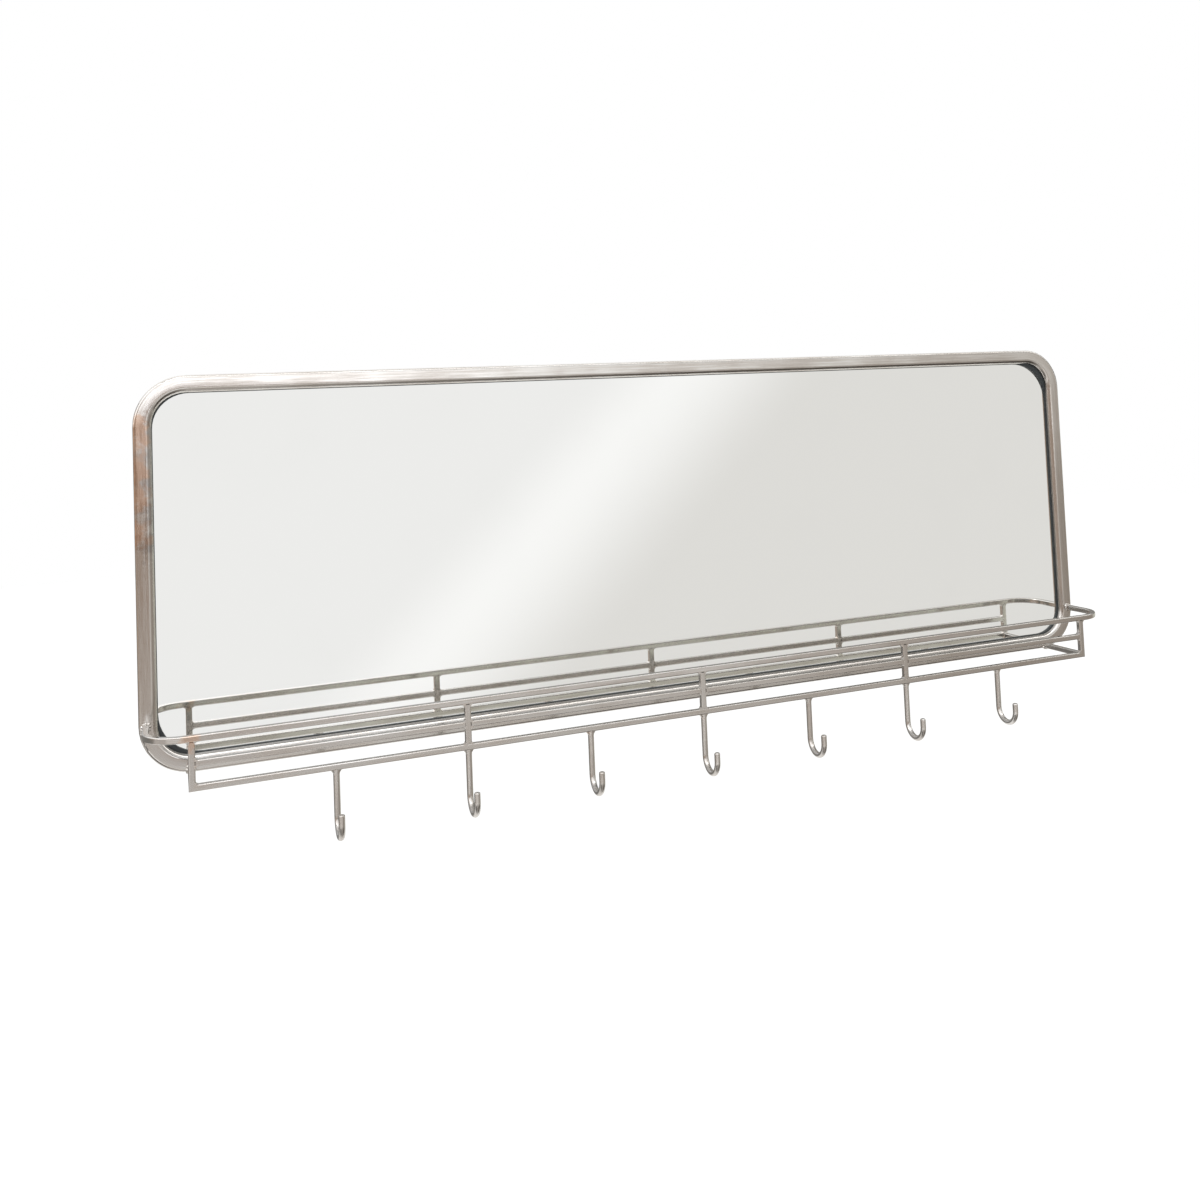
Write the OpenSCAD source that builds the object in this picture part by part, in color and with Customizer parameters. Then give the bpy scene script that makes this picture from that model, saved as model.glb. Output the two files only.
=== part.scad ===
// Wall mirror in a bent tube frame, with a wire shelf rail and a row of coat hooks below it.
// X runs along the width, Y from the room (minus) to the wall (plus), and Z is up.
// The origin is midway between the two hanging keyholes, on the back face of the frame tube.

/* [Frame] */
// Outer width of the frame
frame_w = 1181; // [1060:1:1500]
// Outer height of the frame
frame_h = 406; // [340:1:700]
// Outer radius of the frame's bent corners
corner_r = 52; // [45:1:90]
// Width of the tube, seen from the front
tube_face = 18; // [18:0.5:26]
// Depth of the tube, from front to back
tube_depth = 18; // [17:0.5:26]
// Wall thickness of the tube
tube_wall = 1.5; // [1:0.1:2]
// Rounding of the tube's front edge on the mirror side
inner_edge_r = 5.5; // [3:0.1:6.5]
// Rounding of the tube's front edge on the outer side
outer_edge_r = 3; // [2.4:0.1:6.5]
// Rounding of the tube's two back edges
back_edge_r = 2.5; // [2.2:0.1:4]

/* [Mirror] */
// Depth of the glass behind the front of the frame
glass_recess = 8.5; // [6:0.1:9.5]
// Thickness of the mirror glass
glass_t = 4; // [3:0.5:5]
// Gap between the edge of the glass and the tube, filled by the seal
glass_gap = 0.6; // [0.4:0.1:3]
// How much larger the corner radius of the glass is than that of its opening
corner_relief = 2; // [1:0.5:10]
// How much larger it is at the lower left corner, which is cut rounder
lower_left_relief = 8; // [2:0.5:20]
// How much larger it is at the upper right corner, which is cut rounder still
upper_right_relief = 16; // [2:0.5:20]
// How far the seal stands out in front of the glass
seal_proud = 2.2; // [1:0.1:5]

/* [Back] */
// Thickness of the backing board
board_t = 2.5; // [2:0.5:3.5]
// Gap between the edge of the backing board and the tube
board_gap = 1; // [0.5:0.1:2]
// Thickness of the sheet of a retaining clip
clip_t = 1; // [0.8:0.1:1.4]
// Width of a retaining clip along the tube
clip_w = 16; // [12:0.5:24]
// Length of the clip's flange on the back of the tube
clip_flange = 14; // [12:0.5:17]
// Length of the clip's foot on the backing board
clip_foot = 10; // [6:0.5:16]
// Gap between the step of a clip and the side of the tube
clip_gap = 0.3; // [0.2:0.1:0.8]
// Distance between a keyhole and the clip next to it
clip_from_keyhole = 76; // [40:1:150]
// Distance of the clips on the short sides from the middle of the frame's height
clip_from_middle = 80; // [40:1:95]
// Diameter of a clip screw
screw_d = 3.5; // [3:0.1:4]
// Length of a clip screw under its head
screw_l = 6; // [5:0.5:9]
// Diameter of the head of a clip screw
screw_head_d = 6.4; // [6:0.1:8]
// Height of the head of a clip screw
screw_head_h = 1.6; // [1.2:0.1:1.8]
// Clearance around a clip screw
screw_gap = 0.1; // [0.05:0.05:0.3]
// Diameter of a wall bumper
bumper_d = 12; // [8:0.5:14]
// Thickness of a wall bumper
bumper_t = 3; // [3:0.5:5]
// Narrowing of a wall bumper's radius towards the wall
bumper_taper = 1; // [0:0.5:2]
// Distance of a wall bumper from the side of the frame
bumper_inset = 80; // [65:1:100]

/* [Hanging] */
// Distance between the two keyholes
hang_spacing = 812; // [500:1:850]
// Diameter of a keyhole's entry for the screw head
keyhole_d = 9; // [8:0.1:9.4]
// Width of a keyhole's slot for the screw
keyhole_slot_w = 4.6; // [4:0.1:5]
// Height of the slot's end above the middle of the entry
keyhole_rise = 6.8; // [6:0.1:7]
// Depth of the keyhole's entry below the middle of the tube
keyhole_drop = 2.2; // [2:0.1:2.2]

/* [Shelf rail] */
// Thickness of the square bar of the rails and posts
bar = 6.5; // [5:0.1:8]
// Rounding of the edges of the square bar
bar_edge_r = 1.2; // [0.4:0.1:1.5]
// Distance from the front of the frame to the front of the rails
rail_reach = 73.5; // [60:0.5:120]
// Distance between the rails, middle to middle
rail_pitch = 23.5; // [18:0.5:40]
// Height of the hook rail's middle above the bottom of the frame
hook_rail_rise = 4; // [3.5:0.5:8]
// Distance of the middle of the end posts from the side of the frame
post_inset = 48.5; // [45:0.5:70]
// Distance of the middle of the top rail's ends from the side of the frame
leg_inset = 7; // [4:0.5:12]
// Radius of the bends at the ends of the top rail, along the middle of the bar
loop_r = 35; // [12:0.5:38]

/* [Hooks] */
// Diameter of the round rod of the hooks
rod_d = 6.5; // [5:0.1:6.5]
// Clear width inside a hook
hook_mouth = 26; // [20:0.5:40]
// Distance from the middle of the hook rail to the lowest point of the hooks
hook_drop = 68; // [50:0.5:100]
// Straight length of a hook's tip above its bend
hook_tip_rise = 10; // [4:0.5:18]
// Rounding of the edge of a hook's flat tip
hook_tip_edge_r = 1.5; // [0.5:0.1:2.4]

/* [Hidden] */
$fn = 64;

// Colours
steel = [0.66, 0.62, 0.58];
silver = [0.86, 0.88, 0.87];
black = [0.06, 0.06, 0.07];
board_brown = [0.42, 0.29, 0.18];
zinc = [0.72, 0.73, 0.75];

// Overrun of every cut past the face that it leaves
cut = 1;

// Heights: the middle of the top tube lies keyhole_drop above the origin
top_z = tube_face / 2 + keyhole_drop;
mid_z = top_z - frame_h / 2;
bottom_z = top_z - frame_h;

// Opening inside the tube
inner_w = frame_w - 2 * tube_face;
inner_h = frame_h - 2 * tube_face;
inner_r = corner_r - tube_face;
glass_w = inner_w - 2 * glass_gap;
glass_h = inner_h - 2 * glass_gap;

// Distances in front of the back face of the tube
glass_front = tube_depth - glass_recess;
glass_back = glass_front - glass_t;
board_back = glass_back - board_t;

// Retaining clips and their screws
clip_x = hang_spacing / 2 - clip_from_keyhole;
screw_hole_d = screw_d + 2 * screw_gap;

// Rails, posts and hooks
rail_y = -tube_depth - rail_reach + bar / 2;
hook_rail_z = bottom_z + hook_rail_rise;
middle_rail_z = hook_rail_z + rail_pitch;
top_rail_z = middle_rail_z + rail_pitch;
post_count = 5;
hook_count = 7;
end_post_x = frame_w / 2 - post_inset;
post_pitch = 2 * end_post_x / (post_count - 1);
hook_pitch = post_pitch / 2;
leg_x = frame_w / 2 - leg_inset;
leg_l = rail_reach - bar / 2 - loop_r;
mitre_block = 4 * bar;
hook_r = (hook_mouth + rod_d) / 2;
hook_bend_z = hook_rail_z - hook_drop + rod_d / 2 + hook_r;

// What a rounding of radius r takes off the corner of a section at the origin
module edge_cut(r) {
    difference() {
        translate([-cut, -cut])
            square(r + cut);
        translate([r, r])
            circle(r);
    }
}

// Section of the tube: X runs inwards from the outer side (minus), Y from back to front
module tube_section(face, depth, inner_r, outer_r, back_r) {
    difference() {
        translate([-face, 0])
            square([face, depth]);
        mirror([1, 0])
            edge_cut(back_r);
        translate([-face, 0])
            edge_cut(back_r);
        translate([0, depth])
            rotate(180)
                edge_cut(outer_r);
        translate([-face, depth])
            mirror([0, 1])
                edge_cut(inner_r);
    }
}

// Carries a section round a rectangle of size w by h with bends of radius r
module swept_ring(w, h, r) {
    for (turn = [0:3]) {
        along = turn % 2 == 0 ? h : w;
        across = turn % 2 == 0 ? w : h;
        rotate([0, 0, 90 * turn]) {
            translate([across / 2, 0, 0])
                rotate([90, 0, 0])
                    linear_extrude(height = along - 2 * r, center = true)
                        children();
            translate([across / 2 - r, along / 2 - r, 0])
                rotate_extrude(angle = 90)
                    translate([r, 0])
                        children();
        }
    }
}

// Gives an outline its thickness, from distance back to distance front before the back face
module plate(back, front) {
    translate([0, 0, back])
        linear_extrude(height = front - back)
            children();
}

// Rectangle with rounded corners
module plate_outline(w, h, r) {
    square([w, h - 2 * r], center = true);
    square([w - 2 * r, h], center = true);
    for (x = [-1, 1], y = [-1, 1])
        translate([x * (w / 2 - r), y * (h / 2 - r)])
            circle(r);
}

// Stands a shape drawn flat, front side up, upright round the middle of the frame
module stand_up() {
    translate([0, 0, mid_z])
        rotate([90, 0, 0])
            children();
}

// Puts its children at every clip, with X pointing outwards across the tube
module at_clips() {
    for (side = [-1, 1]) {
        for (x = [-clip_x, 0, clip_x])
            translate([x, side * inner_h / 2, 0])
                rotate([0, 0, side * 90])
                    children();
        for (y = [-clip_from_middle, clip_from_middle])
            translate([side * inner_w / 2, y, 0])
                rotate([0, 0, 90 - side * 90])
                    children();
    }
}

// Hole and slot through the back wall of the tube, entry at the origin
module keyhole() {
    rotate([90, 0, 0])
        translate([0, 0, -cut])
            linear_extrude(height = tube_wall + 2 * cut) {
                circle(d = keyhole_d);
                translate([0, keyhole_rise])
                    circle(d = keyhole_slot_w);
                translate([-keyhole_slot_w / 2, 0])
                    square([keyhole_slot_w, keyhole_rise]);
            }
}

module frame_tube() {
    color(steel)
        difference() {
            stand_up()
                swept_ring(frame_w, frame_h, corner_r)
                    tube_section(tube_face, tube_depth, inner_edge_r, outer_edge_r, back_edge_r);
            stand_up()
                swept_ring(frame_w, frame_h, corner_r)
                    translate([-tube_wall, tube_wall])
                        tube_section(tube_face - 2 * tube_wall, tube_depth - 2 * tube_wall,
                            inner_edge_r - tube_wall, outer_edge_r - tube_wall, back_edge_r - tube_wall);
            for (side = [-1, 1])
                translate([side * hang_spacing / 2, 0, 0])
                    keyhole();
            stand_up()
                at_clips()
                    translate([tube_face / 2, 0, -cut])
                        cylinder(d = screw_hole_d, h = tube_wall + 2 * cut);
        }
}

// Outline of the glass, with its lower left and upper right corners rounder than the other two
module glass_outline() {
    difference() {
        plate_outline(glass_w, glass_h, inner_r + corner_relief);
        translate([-glass_w / 2, -glass_h / 2])
            edge_cut(inner_r + lower_left_relief);
        translate([glass_w / 2, glass_h / 2])
            rotate(180)
                edge_cut(inner_r + upper_right_relief);
    }
}

module mirror_glass() {
    color(silver)
        stand_up()
            plate(glass_back, glass_front)
                glass_outline();
}

module glazing_seal() {
    color(black)
        stand_up()
            plate(glass_back, glass_front + seal_proud)
                difference() {
                    plate_outline(inner_w, inner_h, inner_r);
                    glass_outline();
                }
}

module backing_board() {
    color(board_brown)
        stand_up()
            plate(board_back, glass_back)
                plate_outline(inner_w - 2 * board_gap, inner_h - 2 * board_gap, inner_r - board_gap);
}

// Stepped clip: its flange lies on the back of the tube and its foot on the board
module clip() {
    difference() {
        rotate([90, 0, 0])
            linear_extrude(height = clip_w, center = true)
                polygon([
                    [clip_flange, 0],
                    [-clip_gap, 0],
                    [-clip_gap, board_back],
                    [-clip_gap - clip_foot, board_back],
                    [-clip_gap - clip_foot, board_back - clip_t],
                    [-clip_gap - clip_t, board_back - clip_t],
                    [-clip_gap - clip_t, -clip_t],
                    [clip_flange, -clip_t]
                ]);
        translate([tube_face / 2, 0, -clip_t - cut])
            cylinder(d = screw_hole_d, h = clip_t + 2 * cut);
    }
}

module retaining_clips() {
    color(zinc)
        stand_up()
            at_clips()
                clip();
}

// Screw with a domed head, seated on the clip's flange
module clip_screw() {
    translate([tube_face / 2, 0, -clip_t]) {
        cylinder(d = screw_d, h = screw_l);
        mirror([0, 0, 1])
            rotate_extrude()
                intersection() {
                    square([screw_head_d / 2, screw_head_h]);
                    translate([0, screw_head_h - screw_head_d])
                        circle(screw_head_d);
                }
    }
}

module clip_screws() {
    color(zinc)
        stand_up()
            at_clips()
                clip_screw();
}

module wall_bumpers() {
    color(black)
        stand_up()
            for (x = [-1, 1], y = [-1, 1])
                translate([x * (frame_w / 2 - bumper_inset), y * (frame_h - tube_face) / 2, -bumper_t])
                    cylinder(d1 = bumper_d - 2 * bumper_taper, d2 = bumper_d, h = bumper_t);
}

// Section of the square bar, centred
module bar_section() {
    difference() {
        square(bar, center = true);
        for (turn = [0:3])
            rotate(90 * turn)
                translate([-bar / 2, -bar / 2])
                    edge_cut(bar_edge_r);
    }
}

module bar_along_x(length) {
    rotate([0, 90, 0])
        linear_extrude(height = length, center = true)
            bar_section();
}

module bar_along_y(length) {
    rotate([90, 0, 0])
        linear_extrude(height = length, center = true)
            bar_section();
}

// One bar: straight along the front, bent back at both ends to the face of the frame
module top_rail() {
    color(steel)
        translate([0, rail_y, top_rail_z]) {
            bar_along_x(2 * (leg_x - loop_r));
            for (side = [-1, 1]) {
                translate([side * (leg_x - loop_r), loop_r, 0])
                    rotate([0, 0, side > 0 ? -90 : 180])
                        rotate_extrude(angle = 90)
                            translate([loop_r, 0])
                                bar_section();
                translate([side * leg_x, loop_r + leg_l / 2, 0])
                    bar_along_y(leg_l);
            }
        }
}

// Half space on one side of the mitre at a bottom corner; keep is 1 above it and -1 below it
module mitre(side, keep) {
    translate([side * end_post_x, rail_y, hook_rail_z])
        rotate([0, side * 45, 0])
            translate([0, 0, keep * mitre_block / 2])
                cube(mitre_block, center = true);
}

module hook_rail() {
    color(steel)
        difference() {
            translate([0, rail_y, hook_rail_z])
                bar_along_x(2 * end_post_x + bar);
            mitre(-1, 1);
            mitre(1, 1);
        }
}

// Posts are counted from the left; the two end posts are mitred to the hook rail
module post(number) {
    place = number - (post_count + 1) / 2;
    at_end = number == 1 || number == post_count;
    foot_z = at_end ? hook_rail_z - bar / 2 : hook_rail_z + bar / 2;
    color(steel)
        difference() {
            translate([place * post_pitch, rail_y, foot_z])
                linear_extrude(height = top_rail_z - bar / 2 - foot_z)
                    bar_section();
            if (at_end)
                mitre(sign(place), -1);
        }
}

// Middle rail, one length of bar in each gap between the posts, counted from the left
module middle_rail(number) {
    color(steel)
        translate([(number - post_count / 2) * post_pitch, rail_y, middle_rail_z])
            bar_along_x(post_pitch - bar);
}

// Bar from a bottom corner of the rails straight back to the face of the frame
module return_bar(side) {
    length = rail_reach - bar;
    color(steel)
        translate([side * end_post_x, -tube_depth - length / 2, hook_rail_z])
            bar_along_y(length);
}

// Half section of a rod's end, with its edge rounded, standing on the origin
module rod_end_section() {
    flat_r = rod_d / 2 - hook_tip_edge_r;
    square([rod_d / 2, hook_tip_rise - hook_tip_edge_r]);
    square([flat_r, hook_tip_rise]);
    translate([flat_r, hook_tip_rise - hook_tip_edge_r])
        intersection() {
            circle(hook_tip_edge_r);
            square(hook_tip_edge_r);
        }
}

// Hooks are counted from the left: a straight rod, a half turn to the front and a flat tip
module hook(number) {
    shaft_top_z = hook_rail_z - bar / 2;
    color(steel)
        translate([(number - (hook_count + 1) / 2) * hook_pitch, rail_y, hook_bend_z]) {
            cylinder(d = rod_d, h = shaft_top_z - hook_bend_z);
            translate([0, -hook_r, 0])
                rotate([-90, 0, 90])
                    rotate_extrude(angle = 180)
                        translate([hook_r, 0])
                            circle(d = rod_d);
            translate([0, -2 * hook_r, 0])
                rotate_extrude()
                    rod_end_section();
        }
}

frame_tube();
mirror_glass();
glazing_seal();
backing_board();
retaining_clips();
clip_screws();
wall_bumpers();
top_rail();
hook_rail();
middle_rail(1);  // middle_rail_1
middle_rail(2);  // middle_rail_2
middle_rail(3);  // middle_rail_3
middle_rail(4);  // middle_rail_4
post(1);  // post_1
post(2);  // post_2
post(3);  // post_3
post(4);  // post_4
post(5);  // post_5
return_bar(-1);  // return_bar_left
return_bar(1);  // return_bar_right
hook(1);  // hook_1
hook(2);  // hook_2
hook(3);  // hook_3
hook(4);  // hook_4
hook(5);  // hook_5
hook(6);  // hook_6
hook(7);  // hook_7
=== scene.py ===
"""Finish, welds, light and camera for a wall mirror with a rail and coat hooks.

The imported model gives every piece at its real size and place. This script gives each piece its surface
finish, adds the welds and the recessed screw heads as surfaces of their own, and sets up the light, the floor
and the camera. Lengths are in metres.
"""

import math

import bpy
import numpy as np
from bpy.props import FloatProperty, FloatVectorProperty, PointerProperty
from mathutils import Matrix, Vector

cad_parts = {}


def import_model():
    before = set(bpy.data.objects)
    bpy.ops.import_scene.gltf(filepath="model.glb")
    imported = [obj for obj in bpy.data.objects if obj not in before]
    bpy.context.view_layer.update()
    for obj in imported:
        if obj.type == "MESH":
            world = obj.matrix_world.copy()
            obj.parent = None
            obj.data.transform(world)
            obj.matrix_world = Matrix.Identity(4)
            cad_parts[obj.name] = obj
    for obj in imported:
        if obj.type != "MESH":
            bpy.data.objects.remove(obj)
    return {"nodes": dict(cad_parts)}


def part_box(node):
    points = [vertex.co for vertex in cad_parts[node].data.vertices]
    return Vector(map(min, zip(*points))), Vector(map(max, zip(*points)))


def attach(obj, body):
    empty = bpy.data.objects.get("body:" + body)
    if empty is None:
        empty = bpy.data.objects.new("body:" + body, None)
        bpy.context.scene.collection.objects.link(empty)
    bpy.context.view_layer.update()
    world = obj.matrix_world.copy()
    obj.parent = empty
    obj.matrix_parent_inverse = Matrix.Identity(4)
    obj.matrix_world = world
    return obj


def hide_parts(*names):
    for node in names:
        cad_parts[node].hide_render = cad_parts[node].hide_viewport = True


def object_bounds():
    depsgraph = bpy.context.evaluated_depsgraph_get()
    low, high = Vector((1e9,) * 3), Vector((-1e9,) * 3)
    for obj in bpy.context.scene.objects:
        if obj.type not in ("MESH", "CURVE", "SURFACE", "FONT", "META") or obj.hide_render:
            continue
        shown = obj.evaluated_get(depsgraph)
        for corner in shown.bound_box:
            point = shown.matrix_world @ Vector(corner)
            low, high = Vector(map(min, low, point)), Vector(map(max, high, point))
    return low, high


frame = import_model()
CAD_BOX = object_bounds()

bl_info = {
    "name": "Wall Mirror with Hooks",
    "version": (1, 0, 0),
    "blender": (4, 5, 0),
    "location": "View3D > Sidebar > Mirror",
    "description": "Finishes, welds and studio for a wall mirror with a rail and coat hooks",
    "category": "Object",
}

MM = 0.001
BODY = "root"
NODES = frame["nodes"]
POSTS = sorted(n for n in NODES if n.startswith("post_"))
MIDDLE_RAILS = sorted(n for n in NODES if n.startswith("middle_rail_"))
HOOKS = sorted(n for n in NODES if n.startswith("hook_") and n != "hook_rail")
RETURN_BARS = ["return_bar_left", "return_bar_right"]

# Bend radii of the frame and of the ends of the top rail, outside and along the middle of the bar
CORNER_R = 52 * MM
LOOP_R = 35 * MM

# A weld's skin stands this far off the rod, and a fillet's ends this far inside the sides of the bar, so that
# no two faces lie in one plane
SKIN = 0.02 * MM
INSET = 0.03 * MM

# Width of the camera's sensor, in millimetres
SENSOR_W = 36.0


def span(node):
    """Lowest corner, highest corner and middle of a node, as arrays."""
    low, high = (np.array(corner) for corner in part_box(node))
    return low, high, (low + high) / 2


TUBE_LOW, TUBE_HIGH, TUBE_MIDDLE = span("frame_tube")
RAIL_LOW, RAIL_HIGH, RAIL_MIDDLE = span("hook_rail")
TOP_LOW, TOP_HIGH, TOP_MIDDLE = span("top_rail")
BAR = RAIL_HIGH[2] - RAIL_LOW[2]
POST_X = [span(name)[2][0] for name in POSTS]
MIDDLE_RAIL_Z = span(MIDDLE_RAILS[0])[2][2]


class SteelSettings(bpy.types.PropertyGroup):
    """Finish of the welded steel."""

    colour: FloatVectorProperty(
        name="Steel", description="Colour of the polished steel", subtype="COLOR", min=0, max=1,
        default=(0.60, 0.59, 0.575))
    shade: FloatVectorProperty(
        name="Shade", description="Colour of its browner patches", subtype="COLOR", min=0, max=1,
        default=(0.48, 0.45, 0.42))
    heat: FloatVectorProperty(
        name="Heat", description="Straw colour that welding leaves on the steel", subtype="COLOR",
        min=0, max=1, default=(0.70, 0.40, 0.22))
    heat_reach: FloatProperty(
        name="Heat reach", description="Distance over which the straw colour fades on the tube",
        unit="LENGTH", subtype="DISTANCE", default=20 * MM)
    bar_heat_reach: FloatProperty(
        name="Bar heat reach", description="Distance over which the straw colour fades on the bars",
        unit="LENGTH", subtype="DISTANCE", default=9.5 * MM)
    # Painted shade: a darker colour laid on stretches of the left tube, standing in for the darker reflection
    # there, and the distance over which it fades
    painted_shade: FloatVectorProperty(
        name="Dull", description="Colour of the stretches that were polished less", subtype="COLOR",
        min=0, max=1, default=(0.36, 0.35, 0.345))
    painted_shade_reach: FloatProperty(
        name="Dull reach", description="Distance over which a dull stretch fades", unit="LENGTH",
        subtype="DISTANCE", default=30 * MM)
    roughness: FloatProperty(
        name="Roughness", description="Mean roughness of the tube and the bars", min=0.05, max=1,
        default=0.16)
    hook_roughness: FloatProperty(
        name="Hook roughness", description="Mean roughness of the hooks", min=0.05, max=1, default=0.25)
    stroke: FloatProperty(
        name="Stroke", description="Width of one brush stroke", unit="LENGTH", subtype="DISTANCE",
        default=0.5 * MM)
    streak: FloatProperty(
        name="Streak", description="Width of one polishing streak", unit="LENGTH", subtype="DISTANCE",
        default=3.0 * MM)
    crown: FloatProperty(
        name="Crown", description="How much fuller the tube's face is in the middle", unit="LENGTH",
        subtype="DISTANCE", default=0.2 * MM)


class MirrorSettings(bpy.types.PropertyGroup):
    """Finish of the glass and of what stands behind it."""

    silver: FloatVectorProperty(
        name="Silver", description="Colour of the silvered glass", subtype="COLOR", min=0, max=1,
        default=(0.93, 0.935, 0.92))
    seal: FloatVectorProperty(
        name="Seal", description="Colour of the seal round the glass", subtype="COLOR", min=0, max=1,
        default=(0.012, 0.016, 0.018))
    board: FloatVectorProperty(
        name="Board", description="Colour of the backing board", subtype="COLOR", min=0, max=1,
        default=(0.30, 0.19, 0.11))


class WeldSettings(bpy.types.PropertyGroup):
    """Sizes of the welds."""

    fillet: FloatProperty(
        name="Fillet", description="Leg of the fillet in the inner corners of the bars", unit="LENGTH",
        subtype="DISTANCE", default=2.4 * MM)
    collar: FloatProperty(
        name="Collar", description="Spread of the weld at the top of a hook", unit="LENGTH",
        subtype="DISTANCE", default=3.5 * MM)
    bead: FloatProperty(
        name="Bead", description="Radius of the bead where a bar meets the frame", unit="LENGTH",
        subtype="DISTANCE", default=1.8 * MM)


class ScrewSettings(bpy.types.PropertyGroup):
    """Places and sizes of the screws behind the frame."""

    pitch: FloatProperty(
        name="Pitch", description="Distance between the clips along the top and the bottom", unit="LENGTH",
        subtype="DISTANCE", default=330 * MM)
    rise: FloatProperty(
        name="Rise", description="Height of a side clip above or below the middle", unit="LENGTH",
        subtype="DISTANCE", default=80 * MM)
    head_r: FloatProperty(
        name="Head", description="Radius of the head", unit="LENGTH", subtype="DISTANCE", default=3.2 * MM)
    head_h: FloatProperty(
        name="Head height", description="Height of the head", unit="LENGTH", subtype="DISTANCE",
        default=1.6 * MM)
    shank_r: FloatProperty(
        name="Shank", description="Radius of the shank", unit="LENGTH", subtype="DISTANCE",
        default=1.75 * MM)
    arm: FloatProperty(
        name="Arm", description="Length of an arm of the cross recess from the middle", unit="LENGTH",
        subtype="DISTANCE", default=1.8 * MM)
    arm_w: FloatProperty(
        name="Arm width", description="Width of an arm of the cross recess", unit="LENGTH",
        subtype="DISTANCE", default=0.9 * MM)
    recess: FloatProperty(
        name="Recess", description="Depth of the cross recess", unit="LENGTH", subtype="DISTANCE",
        default=1.0 * MM)


class StageSettings(bpy.types.PropertyGroup):
    """Camera, light and floor."""

    camera_place: FloatVectorProperty(
        name="Camera", description="Place of the camera", subtype="TRANSLATION", unit="LENGTH",
        default=(-0.5559, -1.3629, -0.0395))
    camera_turn: FloatVectorProperty(
        name="Turn", description="Turn of the camera about X, Y and Z", subtype="EULER", unit="ROTATION",
        default=(math.radians(93.005), math.radians(2.494), math.radians(-22.152)))
    lens: FloatProperty(
        name="Lens", description="Focal length in millimetres on a 36 mm sensor", default=36.153)
    shift: FloatVectorProperty(
        name="Shift", description="Shift of the lens, right and up", size=2, default=(-0.05, -0.2167))
    floor_drop: FloatProperty(
        name="Floor", description="Depth of the floor below the hooks", unit="LENGTH", default=1.1)


class Graph:
    """Node tree of a material or world, filled one node at a time."""

    def __init__(self, tree):
        self.tree = tree
        tree.nodes.clear()

    def add(self, kind, inputs=None, **settings):
        """Adds a node, sets its properties, and fills or links its inputs."""
        node = self.tree.nodes.new(kind)
        for name, value in settings.items():
            setattr(node, name, value)
        for key, value in (inputs or {}).items():
            self.fill(node.inputs[key], value)
        return node

    def fill(self, socket, value):
        """Links a socket to another, or sets its value."""
        if isinstance(value, bpy.types.NodeSocket):
            self.tree.links.new(value, socket)
        else:
            socket.default_value = value

    def place(self):
        """Object coordinates, in metres."""
        return self.add("ShaderNodeTexCoord").outputs["Object"]

    def split(self, vector):
        """X, Y and Z of a vector."""
        return tuple(self.add("ShaderNodeSeparateXYZ", {0: vector}).outputs)

    def join(self, x, y, z):
        """Vector of three values."""
        return self.add("ShaderNodeCombineXYZ", {0: x, 1: y, 2: z}).outputs[0]

    def move(self, vector, location=(0.0, 0.0, 0.0), scale=(1.0, 1.0, 1.0)):
        """Coordinates multiplied along each axis, then moved."""
        inputs = {"Vector": vector, "Location": location, "Scale": scale}
        return self.add("ShaderNodeMapping", inputs).outputs[0]

    def noise(self, vector, scale, detail=3.0, roughness=0.5):
        """Soft noise from 0 to 1."""
        inputs = {"Vector": vector, "Scale": scale, "Detail": detail, "Roughness": roughness}
        return self.add("ShaderNodeTexNoise", inputs).outputs["Fac"]

    def remap(self, value, low, high, to_low=0.0, to_high=1.0):
        """Carries low..high to to_low..to_high by a smooth step, held at both ends."""
        inputs = {"Value": value, "From Min": low, "From Max": high, "To Min": to_low, "To Max": to_high}
        return self.add("ShaderNodeMapRange", inputs, interpolation_type="SMOOTHSTEP").outputs[0]

    def blend(self, factor, first, second, kind="MIX"):
        """Mixes two colours."""
        node = self.add("ShaderNodeMix", data_type="RGBA", blend_type=kind)
        for index, value in ((0, factor), (6, first), (7, second)):
            self.fill(node.inputs[index], value)
        return node.outputs[2]

    def math(self, operation, first, second=0.0):
        """One sum on two values."""
        return self.add("ShaderNodeMath", {0: first, 1: second}, operation=operation).outputs[0]

    def total(self, *values):
        """Sum of values."""
        result = values[0]
        for value in values[1:]:
            result = self.math("ADD", result, value)
        return result

    def bump(self, height, strength, distance, normal=None):
        """Normal that follows a height from 0 to 1, distance metres high."""
        inputs = {"Height": height, "Strength": strength, "Distance": distance}
        if normal is not None:
            inputs["Normal"] = normal
        return self.add("ShaderNodeBump", inputs).outputs[0]

    def surface(self, inputs):
        """Ends the tree in one surface shader."""
        shader = self.add("ShaderNodeBsdfPrincipled", inputs)
        self.add("ShaderNodeOutputMaterial", {"Surface": shader.outputs[0]})


def opaque(colour):
    """Colour with an alpha of one."""
    return (*colour, 1.0)


def new_material(name):
    """Empty material and its graph."""
    material = bpy.data.materials.new(name)
    material.use_nodes = True
    return material, Graph(material.node_tree)


def round_bend(graph, first, second, radius):
    """Coordinates along and across a bar that runs straight, bends by a right angle and runs on straight.

    first and second say how far a point lies past the middle of the bend in the two directions. Along the
    first straight the distance is first, in the bend it is the radius times the angle, and on the second
    straight it is the bend's length less second. Across is the distance from the middle of the bend.
    """
    past_first = graph.math("MAXIMUM", first, 0.0)
    past_second = graph.math("MAXIMUM", second, 0.0)
    turned = graph.math("MULTIPLY", graph.math("ARCTAN2", past_first, past_second), radius)
    before = graph.math("MINIMUM", first, 0.0)
    after = graph.math("MINIMUM", second, 0.0)
    along = graph.math("SUBTRACT", graph.math("ADD", before, turned), after)
    squares = graph.math("ADD", graph.math("POWER", past_first, 2.0), graph.math("POWER", past_second, 2.0))
    return along, graph.math("SQRT", squares)


def away(graph, value, middle, offset):
    """Distance of a value from a middle on either side, less an offset."""
    return graph.math("SUBTRACT", graph.math("ABSOLUTE", graph.math("SUBTRACT", value, middle)), offset)


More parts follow.
